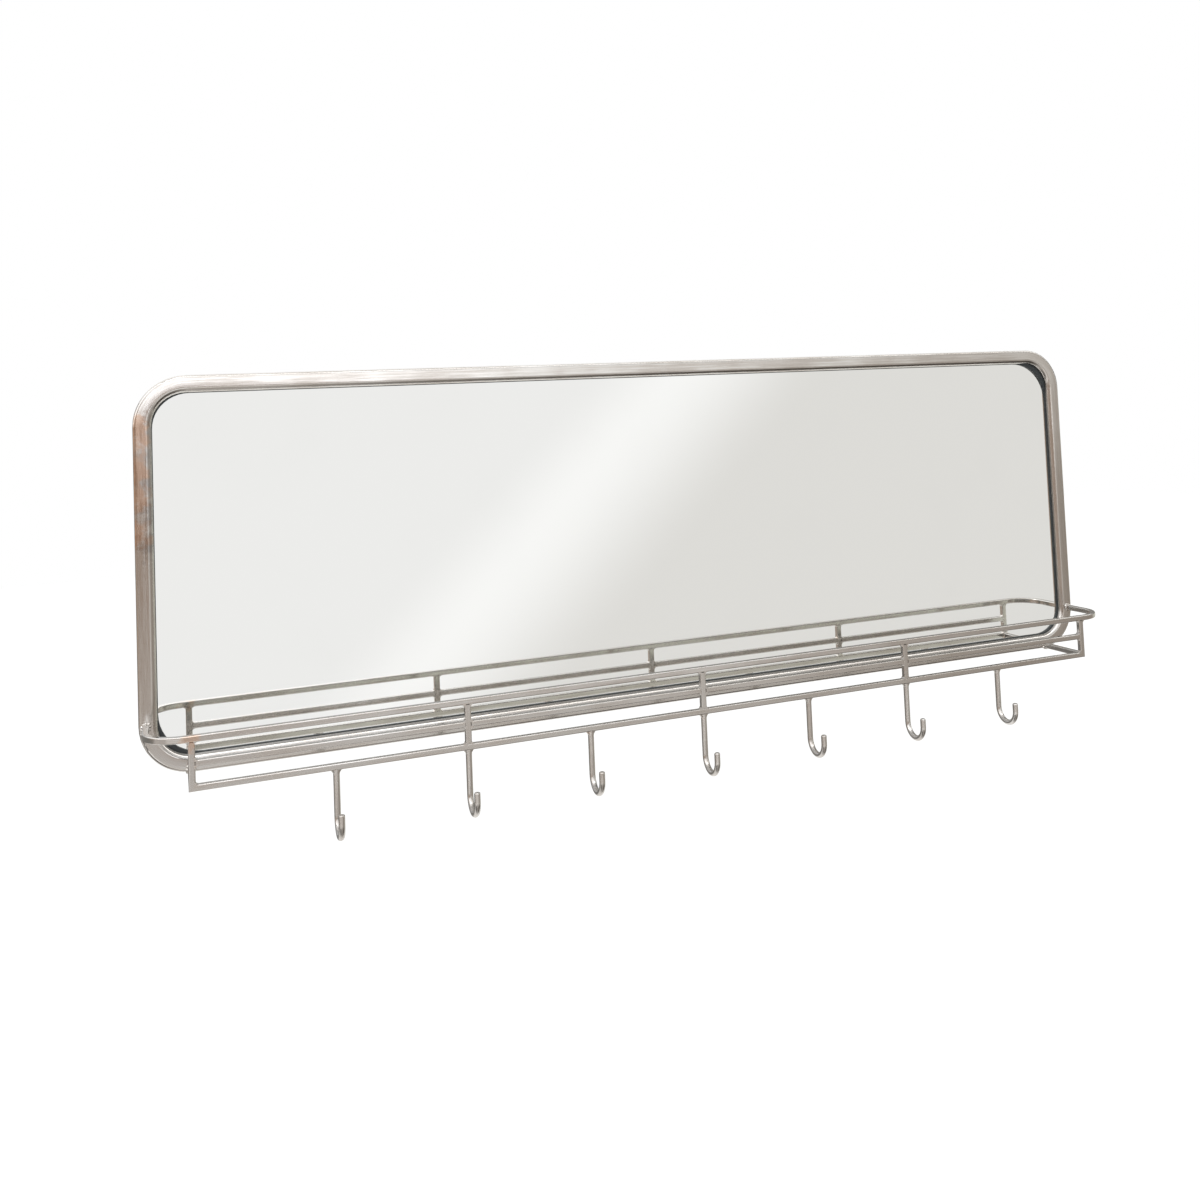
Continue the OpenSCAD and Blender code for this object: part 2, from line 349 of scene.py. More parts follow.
def along_tube(graph):
    """Coordinates that follow the frame tube round its corners: along, across and depth."""
    x, y, z = graph.split(graph.place())
    half = (TUBE_HIGH - TUBE_LOW) / 2
    sideways = away(graph, x, TUBE_MIDDLE[0], half[0] - CORNER_R)
    upright = away(graph, z, TUBE_MIDDLE[2], half[2] - CORNER_R)
    along, across = round_bend(graph, sideways, upright, CORNER_R)
    return graph.join(along, across, y)


def along_top_rail(graph):
    """Coordinates that follow the top rail round its end bends."""
    x, y, z = graph.split(graph.place())
    sideways = away(graph, x, 0.0, TOP_HIGH[0] - BAR / 2 - LOOP_R)
    forwards = graph.math("SUBTRACT", TOP_LOW[1] + BAR / 2 + LOOP_R, y)
    along, across = round_bend(graph, sideways, forwards, LOOP_R)
    return graph.join(along, across, z)


def along_hook(graph):
    """Coordinates that follow a hook down its shaft, round the bend and up to the tip."""
    x, y, z = graph.split(graph.place())
    low, high, middle = span(HOOKS[0])
    rod = high[0] - low[0]
    bend_r = (high[1] - low[1] - rod) / 2
    downwards = graph.math("SUBTRACT", low[2] + rod / 2 + bend_r, z)
    outwards = away(graph, y, middle[1], 0.0)
    along, across = round_bend(graph, downwards, outwards, bend_r)
    return graph.join(along, across, x)


def along_axis(axis):
    """Coordinates of a straight bar, with the axis that it runs along put first."""
    def coordinates(graph):
        values = graph.split(graph.place())
        return graph.join(values[axis], values[(axis + 1) % 3], values[(axis + 2) % 3])
    return coordinates


def spots(graph, places, reach):
    """Soft spots of one at each place and zero past reach, with ragged edges."""
    place = graph.place()
    ragged = graph.remap(graph.noise(place, 90.0, 4.0, 0.6), 0.3, 0.7, -0.35, 0.35)
    result = 0.0
    for centre in places:
        ends = {0: place, 1: centre}
        distance = graph.add("ShaderNodeVectorMath", ends, operation="DISTANCE").outputs["Value"]
        near = graph.remap(graph.total(graph.math("DIVIDE", distance, reach), ragged), 0.25, 1.0, 1.0, 0.0)
        result = graph.math("MAXIMUM", result, near)
    return result


def steel_material(name, settings, mean, coordinates, seed, heat=None, painted_shade_spots=(), crown=None):
    """Satin steel: fine strokes and wider streaks along the piece, and browner patches.

    mean is its mean roughness, and coordinates follow the piece, with the strokes along the first. heat is
    the middles of the straw spots, and the distance over which they fade. dulled are the middles of stretches
    of painted shade: a darker colour that stands in for the darker reflection there. crown is the middle and
    the half width of a face, across the piece, that is a shade fuller in the middle: its height falls by the
    square of the distance from the middle.
    """
    material, graph = new_material(name)
    place = graph.move(graph.place(), (seed, 2 * seed, 3 * seed))
    straight = coordinates(graph)
    follow = graph.move(straight, (seed, seed, seed))
    strokes = graph.noise(graph.move(follow, scale=(0.02, 1.0, 1.0)), 1 / settings.stroke, 2.0)
    streaks = graph.noise(graph.move(follow, scale=(0.03, 1.0, 1.0)), 1 / settings.streak, 3.0, 0.6)
    bands = graph.noise(graph.move(follow, scale=(1.0, 0.4, 0.4)), 18.0, 2.0, 0.5)
    clouds = graph.noise(place, 9.0, 3.0)
    parts = ((streaks, 0.45), (bands, 0.2), (clouds, 0.35))
    mixed = graph.total(*(graph.math("MULTIPLY", pattern, share) for pattern, share in parts))
    brown = graph.remap(mixed, 0.38, 0.62)
    colour = graph.blend(brown, opaque(settings.colour), opaque(settings.shade))
    colour = graph.blend(graph.remap(strokes, 0.3, 0.7, 0.0, 0.22), colour, opaque(settings.shade))
    # Painted shade: the dulled stretches get a darker colour that stands in for a darker reflection
    if painted_shade_spots:
        colour = graph.blend(spots(graph, painted_shade_spots, settings.painted_shade_reach), colour, opaque(settings.painted_shade))
    if heat:
        straw = graph.math("MULTIPLY", spots(graph, *heat), 0.4)
        colour = graph.blend(straw, colour, opaque(settings.heat))
    roughness = graph.total(graph.remap(strokes, 0.3, 0.7, -0.04, 0.05),
                            graph.remap(brown, 0.0, 1.0, mean - 0.04, mean + 0.06))
    normal = graph.bump(graph.noise(place, 40.0, 2.0), 0.5, 0.10 * MM)
    normal = graph.bump(streaks, 0.5, 0.02 * MM, normal)
    normal = graph.bump(strokes, 0.35, 0.012 * MM, normal)
    if crown:
        middle, half = crown
        off = graph.math("DIVIDE", graph.math("SUBTRACT", graph.split(straight)[1], middle), half)
        fullness = graph.math("SUBTRACT", 1.0, graph.math("POWER", off, 2.0))
        normal = graph.bump(fullness, 1.0, settings.crown, normal)
    graph.surface({"Base Color": colour, "Metallic": 1.0, "Roughness": roughness, "Normal": normal})
    return material


def weld_material(settings):
    """Ground weld metal, with a finer and more uneven skin than the bars."""
    material, graph = new_material("weld_steel")
    place = graph.place()
    skin = graph.noise(place, 420.0, 4.0, 0.6)
    stain = graph.remap(graph.noise(place, 70.0, 3.0), 0.5, 0.7, 0.0, 0.2)
    grain = graph.remap(skin, 0.35, 0.65, 0.3, 1.0)
    colour = graph.blend(grain, opaque(settings.colour), opaque(settings.shade))
    colour = graph.blend(stain, colour, opaque(settings.heat))
    roughness = graph.remap(skin, 0.3, 0.7, settings.roughness + 0.05, settings.roughness + 0.18)
    normal = graph.bump(skin, 0.6, 0.15 * MM)
    graph.surface({"Base Color": colour, "Metallic": 1.0, "Roughness": roughness, "Normal": normal})
    return material


def mirror_material(settings):
    """Silvered glass: a clean mirror with a trace of green, a shade duller in soft clouds."""
    material, graph = new_material("silvered_glass")
    cloud = graph.remap(graph.noise(graph.place(), 9.0, 5.0, 0.6), 0.45, 0.8, 0.0, 1.0)
    duller = tuple(0.99 * c for c in settings.silver)
    colour = graph.blend(cloud, opaque(settings.silver), opaque(duller))
    graph.surface({"Base Color": colour, "Metallic": 1.0, "Roughness": 0.0})
    return material


def seal_material(settings):
    """Matte black seal with a faint unevenness."""
    material, graph = new_material("black_seal")
    lumps = graph.noise(graph.place(), 300.0, 2.0)
    colour = graph.blend(lumps, opaque(settings.seal), (0.03, 0.037, 0.04, 1.0))
    normal = graph.bump(lumps, 0.4, 0.2 * MM)
    graph.surface({"Base Color": colour, "Roughness": 0.45, "Normal": normal})
    return material


def board_material(settings):
    """Smooth brown hardboard with pressed fibres."""
    material, graph = new_material("hardboard")
    place = graph.place()
    fibres = graph.noise(graph.move(place, scale=(1.0, 1.0, 3.0)), 260.0, 5.0, 0.7)
    clouds = graph.noise(place, 12.0, 4.0, 0.6)
    dark = tuple(0.62 * c for c in settings.board)
    light = tuple(1.3 * c for c in settings.board)
    colour = graph.blend(graph.remap(fibres, 0.35, 0.65), opaque(dark), opaque(settings.board))
    colour = graph.blend(graph.remap(clouds, 0.4, 0.8, 0.0, 0.5), colour, opaque(light))
    normal = graph.bump(fibres, 0.3, 0.1 * MM)
    graph.surface({"Base Color": colour, "Roughness": 0.55, "Normal": normal})
    return material


def zinc_material():
    """Bright zinc plating with its crystal patches."""
    material, graph = new_material("zinc_plating")
    place = graph.place()
    crystals = graph.add("ShaderNodeTexVoronoi", {"Vector": place, "Scale": 500.0}).outputs["Color"]
    colour = graph.blend(0.12, (0.66, 0.67, 0.69, 1.0), crystals, "SOFT_LIGHT")
    graph.surface({"Base Color": colour, "Metallic": 1.0, "Roughness": 0.33})
    return material


def rubber_material():
    """Black rubber."""
    material, graph = new_material("bumper_rubber")
    grain = graph.noise(graph.place(), 900.0, 2.0)
    colour = graph.blend(grain, (0.02, 0.02, 0.021, 1.0), (0.04, 0.04, 0.04, 1.0))
    graph.surface({"Base Color": colour, "Roughness": 0.7, "Normal": graph.bump(grain, 0.4, 0.1 * MM)})
    return material


def dress(names, material):
    """Gives CAD nodes a material."""
    for name in names:
        for place in NODES[name].material_slots:
            place.material = material


def grid_faces(rings, points, closed):
    """Corner numbers of the quads between neighbouring rings of points.

    Where the rings close into a loop, there are quads between the last ring and the first too.
    """
    last = rings if closed else rings - 1
    ring, point = np.meshgrid(np.arange(last), np.arange(points), indexing="ij")
    here, there = ring * points, (ring + 1) % rings * points
    beside = (point + 1) % points
    return np.stack([here + point, here + beside, there + beside, there + point], axis=-1).reshape(-1, 4)


def volume(shape, faces):
    """Signed volume of a closed shell of quads: each quad is two triangles seen from the origin."""
    a, b, c, d = (shape[faces[:, k]] for k in range(4))
    return (np.einsum("ij,ij->i", a, np.cross(b, c)) + np.einsum("ij,ij->i", a, np.cross(c, d))).sum() / 6


def shell_piece(name, shells, material):
    """Makes one object of closed shells.

    Each shell is an array of rings of points, and says whether its rings close into a loop. Where they don't,
    the shell ends in a flat face over its first ring and one over its last.
    """
    corners, polygons, start = [], [], 0
    for rings, closed in shells:
        count, points = rings.shape[:2]
        shape = rings.reshape(-1, 3)
        quads = grid_faces(count, points, closed)
        centred = shape - shape.mean(axis=0)
        first, last = np.arange(points)[::-1], np.arange(points) + (count - 1) * points
        caps = [] if closed else [first, last]
        flip = volume(centred, quads) < 0
        for face in (*quads, *caps):
            polygons.append((face[::-1] if flip else face) + start)
        corners.append(shape)
        start += len(shape)
    mesh = bpy.data.meshes.new(name)
    mesh.from_pydata(np.concatenate(corners).tolist(), [], [face.tolist() for face in polygons])
    mesh.shade_smooth()
    mesh.set_sharp_from_angle(angle=math.radians(50))
    mesh.materials.append(material)
    piece = bpy.data.objects.new(name, mesh)
    bpy.context.scene.collection.objects.link(piece)
    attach(piece, BODY)
    return piece


def full_turn(count):
    """Angles of a full turn in equal steps, without the last, which is the first again."""
    return np.linspace(0, 2 * math.pi, count + 1)[:-1]


def fillet(corner, first, second, leg, half):
    """Weld in an inner corner, as rings of points.

    The section is bounded by a hollow quarter circle between the ends of two legs, and by straight sides sunk
    below both bars. It is carried across the bar from minus half to plus half along the third direction, and
    its leg is shorter at both ends, where the weld is ground flush.
    """
    first, second = np.array(first, float), np.array(second, float)
    third = np.cross(first, second)
    turn = np.linspace(0, math.pi / 2, 9)[:, None]
    sunk = 0.55 * leg
    hollow = (1 - np.sin(turn)) * first + (1 - np.cos(turn)) * second
    shares = np.array([0.82, 0.97, 1.0, 0.97, 0.82])
    places = half * np.array([-1.0, -0.86, 0.0, 0.86, 1.0])
    rings = []
    for share, place in zip(shares, places):
        arc = leg * share * hollow
        below = np.stack([leg * share * second - sunk * first, -sunk * (first + second),
                          leg * share * first - sunk * second])
        rings.append(np.concatenate([arc, below]) + place * third)
    return np.array(rings) + np.array(corner)


def collar(centre, top, rod_r, spread):
    """Weld at the top of a hook, as rings of points.

    Each ring is an ellipse. Along the rail its radius is the rod's, plus a spread that falls as the power 2.2
    of the share left to go down. Across the rail its radius is the rod's, and a tenth less at the top.
    """
    turn = full_turn(32)
    down = np.linspace(0, 1, 9)[:, None]
    wide = rod_r + SKIN + spread * (1 - down) ** 2.2
    deep = (rod_r + SKIN) * (1 - 0.10 * (1 - down))
    x, y = wide * np.cos(turn), deep * np.sin(turn)
    sunk, length = 0.35 * MM, 1.5 * spread
    z = np.broadcast_to(sunk - length * down, x.shape)
    return np.stack([x, y, z], axis=-1) + np.array([centre[0], centre[1], top])


def bead(centre, half, radius, seed):
    """Weld bead round a square bar where it meets the front of the frame, as a loop of rings.

    The path is a rounded square: its distance from the middle is half, divided by the fourth root of the sum
    of the fourth powers of the cosine and the sine. The bead's radius swells and shrinks along the path by
    three sine waves, as the welder's puddles do, and the bead is a fifth flatter than it is wide.
    """
    turn = full_turn(72)[:, None]
    round_it = full_turn(16)
    reach = half / (np.cos(turn) ** 4 + np.sin(turn) ** 4) ** 0.25
    size = radius * (1 + 0.2 * np.sin(9 * turn + seed) + 0.2 * np.sin(2 * turn + 1.7 * seed)
                     + 0.12 * np.sin(5 * turn + 2.3 * seed))
    out = reach + size * np.cos(round_it)
    depth = -0.8 * size * np.sin(round_it)
    return np.stack([out * np.cos(turn), depth, out * np.sin(turn)], axis=-1) + np.array(centre)


def screw(centre, back, sizes):
    """Screw with a domed head and a cross recess, as rings of points from the end of the shank to the middle.

    The dome is a piece of a ball: its height over the seat is the root of (2 head_r)^2 - r^2, less
    2 head_r - head_h. The recess takes its depth off that where the point is nearer than half the arm's width
    to one axis and nearer than the arm's length to the other, with a soft step at its edge.
    """
    shank, step = 6 * MM, 0.15 * MM
    turn = full_turn(96)
    below = [sizes.shank_r, sizes.shank_r, sizes.head_r]
    radius = np.concatenate([below, sizes.head_r * np.linspace(1, 0.02, 40)])
    x, z = np.outer(radius, np.cos(turn)), np.outer(radius, np.sin(turn))
    ball = 2 * sizes.head_r
    dome = np.sqrt(ball ** 2 - radius ** 2) - ball + sizes.head_h
    near = sizes.arm_w / 2 - np.minimum(abs(x), abs(z))
    far = sizes.arm - np.maximum(abs(x), abs(z))
    inside = np.clip(np.minimum(near, far) / step + 0.5, 0, 1)
    height = dome[:, None] - sizes.recess * inside
    height[:len(below)] = np.array([-shank, 0.0, 0.0])[:, None]
    return np.stack([x, back + height, z], axis=-1) + np.array([centre[0], 0.0, centre[1]])


def bar_fillets(leg):
    """Fillets at every inner corner of the rails, the posts and the return bars."""
    half = BAR / 2
    y = RAIL_MIDDLE[1]
    top, low, middle = TOP_MIDDLE[2], RAIL_MIDDLE[2], MIDDLE_RAIL_Z
    up, down = (0, 0, 1), (0, 0, -1)
    shells = []
    for number, x in enumerate(POST_X):
        for side in (-1, 1):
            outside = x * side > 0 and number in (0, len(POST_X) - 1)
            edge, sideways = x + side * half, (side, 0, 0)
            shells.append(((edge, y, top - half), sideways, down))
            if not outside:
                shells.append(((edge, y, middle + half), sideways, up))
                shells.append(((edge, y, middle - half), sideways, down))
                shells.append(((edge, y, low + half), sideways, up))
    for side in (-1, 1):
        edge = side * (abs(POST_X[0]) - half)
        shells.append(((edge, y + half, low), (-side, 0, 0), (0, 1, 0)))
        shells.append(((side * abs(POST_X[0]), y + half, low + half), (0, 1, 0), up))
    return [(fillet(*shell, leg, half - INSET), False) for shell in shells]


def left_spots(inward, behind, depths):
    """Places on the left side of the tube, inward from its outer edge and behind its front. depths are how far
    they lie below its top, in millimetres."""
    return [(TUBE_LOW[0] + inward, TUBE_LOW[1] + behind, TUBE_HIGH[2] - depth * MM) for depth in depths]


class MIRROR_OT_tube(bpy.types.Operator):
    """Finish the frame tube"""

    bl_idname = "mirror.tube"
    bl_label = "Frame tube"

    def execute(self, context):
        steel = context.scene.mirror_steel
        # Straw-coloured spots along the outer side of the left tube, 52 to 160 mm below its top, fading over
        # heat_reach
        heat = (left_spots(1 * MM, 4 * MM, (52, 66, 95, 125, 160)), steel.heat_reach)
        # Painted shade: darker stretches down the inner half of the left tube, standing in for the darker
        # reflection there
        painted_shade_spots = left_spots(23 * MM, 0.0, (60, 85, 110, 140, 170))
        half = (TUBE_HIGH[1] - TUBE_LOW[1]) / 2
        crown = (CORNER_R - half, half)
        metal = steel_material("tube_steel", steel, steel.roughness, along_tube, 0.0, heat, painted_shade_spots, crown)
        dress(["frame_tube"], metal)
        return {"FINISHED"}


class MIRROR_OT_glass(bpy.types.Operator):
    """Finish the glass and the seal round it"""

    bl_idname = "mirror.glass"
    bl_label = "Glass and seal"

    def execute(self, context):
        mirror = context.scene.mirror_glass
        dress(["mirror_glass"], mirror_material(mirror))
        dress(["glazing_seal"], seal_material(mirror))
        return {"FINISHED"}


class MIRROR_OT_back(bpy.types.Operator):
    """Finish the board, the clips with their screws and the bumpers"""

    bl_idname = "mirror.back"
    bl_label = "Back"

    def execute(self, context):
        dress(["backing_board"], board_material(context.scene.mirror_glass))
        dress(["retaining_clips", "clip_screws"], zinc_material())
        dress(["wall_bumpers"], rubber_material())
        return {"FINISHED"}


class MIRROR_OT_screws(bpy.types.Operator):
    """Put screws with cross recesses in place of the plain ones"""

    bl_idname = "mirror.screws"
    bl_label = "Screws"

    def execute(self, context):
        sizes = context.scene.mirror_screws
        low, high, middle = span("clip_screws")
        ends = (low[2] + sizes.head_r, high[2] - sizes.head_r)
        sides = (low[0] + sizes.head_r, high[0] - sizes.head_r)
        centres = [(x, z) for z in ends for x in (-sizes.pitch, 0.0, sizes.pitch)]
        centres += [(x, middle[2] + rise) for x in sides for rise in (-sizes.rise, sizes.rise)]
        back = high[1] - sizes.head_h
        piece = shell_piece("cross_screws", [(screw(centre, back, sizes), False) for centre in centres],
                            bpy.data.materials["zinc_plating"])
        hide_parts("clip_screws")
        return {"FINISHED"}


class MIRROR_OT_rails(bpy.types.Operator):
    """Finish the rails, the posts and the return bars"""

    bl_idname = "mirror.rails"
    bl_label = "Rails and posts"

    def execute(self, context):
        steel = context.scene.mirror_steel
        left, front, top = POST_X[0], RAIL_LOW[1], TOP_MIDDLE[2]
        # Straw spots where the first post meets the top rail: on the joint, left of it and below it
        heat = ([(left, front, top), (left - 5 * MM, front, top), (left, front, top - 6 * MM)],
                steel.bar_heat_reach)
        finishes = (("top_rail_steel", ["top_rail"], along_top_rail, 0.11, heat),
                    ("rail_steel", ["hook_rail"] + MIDDLE_RAILS, along_axis(0), 0.31, None),
                    ("post_steel", POSTS, along_axis(2), 0.57, heat),
                    ("return_bar_steel", RETURN_BARS, along_axis(1), 0.83, None))
        for name, nodes, coordinates, seed, spot in finishes:
            dress(nodes, steel_material(name, steel, steel.roughness, coordinates, seed, spot))
        return {"FINISHED"}


class MIRROR_OT_hooks(bpy.types.Operator):
    """Finish the hooks"""

    bl_idname = "mirror.hooks"
    bl_label = "Hooks"

    def execute(self, context):
        steel = context.scene.mirror_steel
        dress(HOOKS, steel_material("hook_steel", steel, steel.hook_roughness, along_hook, 1.13))
        return {"FINISHED"}


class MIRROR_OT_welds(bpy.types.Operator):
    """Add the welds between the bars, above the hooks and on the frame"""

    bl_idname = "mirror.welds"
    bl_label = "Welds"

    def execute(self, context):
        sizes = context.scene.mirror_welds
        metal = weld_material(context.scene.mirror_steel)
        shell_piece("bar_welds", bar_fillets(sizes.fillet), metal)
        collars = []
        for name in HOOKS:
            low, high, middle = span(name)
            rod_r = (high[0] - low[0]) / 2
            collars.append((collar((middle[0], high[1] - rod_r), high[2], rod_r, sizes.collar), False))
        shell_piece("hook_welds", collars, metal)
        ends = [(side * (TOP_HIGH[0] - BAR / 2), TOP_MIDDLE[2]) for side in (-1, 1)]
        ends += [(span(name)[2][0], RAIL_MIDDLE[2]) for name in RETURN_BARS]
        beads = [(bead((x, TUBE_LOW[1], z), BAR / 2, sizes.bead, 2.1 * number), True)
                 for number, (x, z) in enumerate(ends)]
        shell_piece("frame_welds", beads, metal)
        return {"FINISHED"}


def camera(settings):
    """Camera at the photograph's viewing angle."""
    data = bpy.data.cameras.new("camera")
    data.lens, data.sensor_width = settings.lens, SENSOR_W
    data.shift_x, data.shift_y = settings.shift
    data.clip_start, data.clip_end = 0.01, 100.0
    view = bpy.data.objects.new("camera", data)
    view.location, view.rotation_euler = settings.camera_place, settings.camera_turn
    bpy.context.scene.collection.objects.link(view)
    bpy.context.scene.camera = view


def floor(settings):
    """Plain pale floor far below the hooks.

    It glows a little where the camera sees it, and metal and glass see past it to the studio.
    """
    half, glow_strength = 12.0, 0.32
    level = CAD_BOX[0].z - settings.floor_drop
    corners = [(-half, -half, level), (half, -half, level), (half, half, level), (-half, half, level)]
    mesh = bpy.data.meshes.new("floor")
    mesh.from_pydata(corners, [], [(0, 1, 2, 3)])
    plane = bpy.data.objects.new("floor", mesh)
    bpy.context.scene.collection.objects.link(plane)
    material, graph = new_material("pale_floor")
    path = graph.add("ShaderNodeLightPath")
    diffuse = graph.add("ShaderNodeBsdfDiffuse", {"Color": (0.86, 0.86, 0.86, 1.0)})
    strength = graph.math("MULTIPLY", path.outputs["Is Camera Ray"], glow_strength)
    glow = graph.add("ShaderNodeEmission", {"Strength": strength})
    lit = graph.add("ShaderNodeAddShader", {0: diffuse.outputs[0], 1: glow.outputs[0]})
    clear = graph.add("ShaderNodeBsdfTransparent")
    seen = graph.add("ShaderNodeMixShader", {0: path.outputs["Is Glossy Ray"], 1: lit.outputs[0]})
    graph.tree.links.new(clear.outputs[0], seen.inputs[2])
    graph.add("ShaderNodeOutputMaterial", {"Surface": seen.outputs[0]})
    mesh.materials.append(material)


def into_room(graph, y):
    """How fast a ray runs into the room. It is held above 0.05, so that others can be divided by it."""
    return graph.math("MAXIMUM", graph.math("MULTIPLY", y, -1.0), 0.05)


def mirror_view(graph, x, y, z):
    """What the mirror itself shows: a pale screen, a bright slanted band and a darker screen at its right.

    It is darker behind and below.
    """
    slanted = graph.math("SUBTRACT", x, graph.math("MULTIPLY", z, 1.02))
    slant = graph.math("DIVIDE", slanted, into_room(graph, y))
    left, peak, right = (0.905, 0.90, 0.897, 1.0), (1.0, 0.995, 0.992, 1.0), (0.775, 0.762, 0.742, 1.0)
    view = graph.blend(graph.remap(slant, 0.31, 0.40), left, peak)
    view = graph.blend(graph.remap(slant, 0.395, 0.56), view, right)
    view = graph.blend(graph.remap(y, -0.25, 0.2), view, (0.40, 0.40, 0.41, 1.0))
    return graph.blend(graph.remap(z, -0.28, -0.75), view, (0.62, 0.61, 0.59, 1.0))


def glass_view(graph, x, z):
    """What the metal shows by way of the mirror and past its edges.

    From below upwards it is a pale floor, a room that is dim at the left and pale from the middle on, and a
    ceiling that gets darker to the right.
    """
    above = graph.blend(graph.remap(x, -0.1, 0.6), (0.74, 0.74, 0.75, 1.0), (0.30, 0.295, 0.28, 1.0))
    level = graph.blend(graph.remap(x, -0.08, 0.06), (0.27, 0.26, 0.245, 1.0), (0.78, 0.775, 0.70, 1.0))
    view = graph.blend(graph.remap(z, -0.7, -0.34), (1.25, 1.23, 1.2, 1.0), level)
    return graph.blend(graph.remap(z, -0.06, 0.1), view, above)


def side_tones(graph, sideways):
    """Function that blends three colours from the left of the room to its middle and its right."""
    to_middle, to_right = graph.remap(sideways, 0.03, 0.38), graph.remap(sideways, 0.35, 0.92)

    def tones(left, middle, right):
        return graph.blend(to_right, graph.blend(to_middle, opaque(left), opaque(middle)), opaque(right))

    return tones


def floor_view(graph, z, sideways, to_left, tones):
    """Floor of the room, from below upwards: underneath, near, a sunlit strip, far, its pale end, and a brown
    horizon. Farther left the near floor lies in shadow and the far floor has a bright patch."""
    near_floor = tones((0.70, 0.66, 0.615), (0.32, 0.295, 0.27), (0.12, 0.105, 0.09))
    near_floor = graph.blend(graph.remap(sideways, -0.25, -0.6), near_floor, (0.22, 0.21, 0.20, 1.0))
    underneath = tones((0.85, 0.84, 0.82), (0.55, 0.535, 0.51), (0.32, 0.305, 0.28))
    view = graph.blend(graph.remap(z, -0.90, -0.98), near_floor, underneath)
    sunlit = tones((1.75, 1.73, 1.7), (1.15, 1.12, 1.08), (0.65, 0.61, 0.56))
    view = graph.blend(graph.remap(z, -0.48, -0.42), view, sunlit)
    far_floor = tones((0.73, 0.70, 0.675), (0.68, 0.645, 0.61), (0.48, 0.435, 0.39))
    patch = graph.remap(away(graph, sideways, -0.7, 0.0), 0.6, 0.45)
    far_floor = graph.blend(patch, far_floor, (1.1, 1.08, 1.05, 1.0))
    view = graph.blend(graph.remap(z, -0.37, -0.30), view, far_floor)
    end = tones((1.05, 1.02, 0.99), (0.98, 0.94, 0.90), (0.46, 0.405, 0.355))
    end = graph.blend(to_left, end, (0.56, 0.48, 0.415, 1.0))
    view = graph.blend(graph.remap(z, -0.24, -0.205), view, end)
    horizon = tones((0.95, 0.91, 0.87), (0.66, 0.61, 0.555), (0.44, 0.39, 0.34))
    horizon = graph.blend(to_left, horizon, (0.49, 0.385, 0.315, 1.0))
    return graph.blend(graph.remap(z, -0.19, -0.15), view, horizon)


def wall_view(graph, z, rise, sideways, to_left, tones, view):
    """Wall over what view shows: a window, which starts higher at the left, and a dim strip over it."""
    window = tones((2.5, 2.5, 2.55), (1.32, 1.31, 1.29), (0.80, 0.76, 0.71))
    window = graph.blend(graph.remap(sideways, -0.08, -0.16), window, (0.62, 0.52, 0.44, 1.0))
    view = graph.blend(graph.remap(z, -0.06, -0.02), view, graph.blend(to_left, window, view))
    lift = graph.remap(sideways, 0.12, 0.03, 0.0, 0.022)
    view = graph.blend(graph.remap(graph.math("SUBTRACT", z, lift), -0.015, 0.01), view, window)
    strip = tones((1.3, 1.3, 1.3), (0.6, 0.6, 0.58), (0.45, 0.44, 0.41))
    return graph.blend(graph.remap(rise, 0.17, 0.2), view, strip)


def ceiling_view(graph, rise, tones, view):
    """Ceiling over what view shows, with a skylight, and darker overhead."""
    ceiling = tones((1.9, 1.9, 1.92), (1.25, 1.25, 1.24), (0.85, 0.83, 0.8))
    view = graph.blend(graph.remap(rise, 0.27, 0.34), view, ceiling)
    skylight = tones((4.2, 4.2, 4.2), (4.2, 4.2, 4.18), (3.6, 3.56, 3.5))
    view = graph.blend(graph.remap(rise, 0.80, 0.85), view, skylight)
    overhead = tones((1.1, 1.1, 1.1), (0.65, 0.65, 0.63), (0.35, 0.34, 0.32))
    return graph.blend(graph.remap(rise, 0.905, 0.935), view, overhead)


def room_view(graph, x, y, z):
    """What the satin metal shows: a room whose tones change from left to right at each height.

    The floor and the window go by z. The strip over the window and the ceiling go by the rise, which is z
    over the root of y^2 + z^2. Behind it is bright above, and lower down it is what glass_view shows. A tan
    cupboard stands far to the left.
    """
    sideways = graph.math("DIVIDE", x, into_room(graph, y))
    to_left = graph.remap(sideways, 0.13, 0.05)
    tones = side_tones(graph, sideways)
    squares = graph.total(graph.math("MULTIPLY", y, y), graph.math("MULTIPLY", z, z))
    rise = graph.math("DIVIDE", z, graph.math("SQRT", squares))
    view = floor_view(graph, z, sideways, to_left, tones)
    view = wall_view(graph, z, rise, sideways, to_left, tones, view)
    view = ceiling_view(graph, rise, tones, view)
    behind = graph.blend(graph.remap(z, 0.35, 0.6), glass_view(graph, x, z), (1.7, 1.7, 1.69, 1.0))
    view = graph.blend(graph.remap(y, -0.12, 0.15), view, behind)
    height = graph.math("MULTIPLY", graph.remap(z, 0.12, -0.02), graph.remap(z, -0.22, -0.17))
    depth = graph.remap(away(graph, y, 0.03, 0.0), 0.35, 0.15)
    cupboard = graph.math("MULTIPLY", graph.math("MULTIPLY", height, depth), graph.remap(x, -0.6, -0.85))
    return graph.blend(cupboard, view, (0.76, 0.58, 0.45, 1.0))


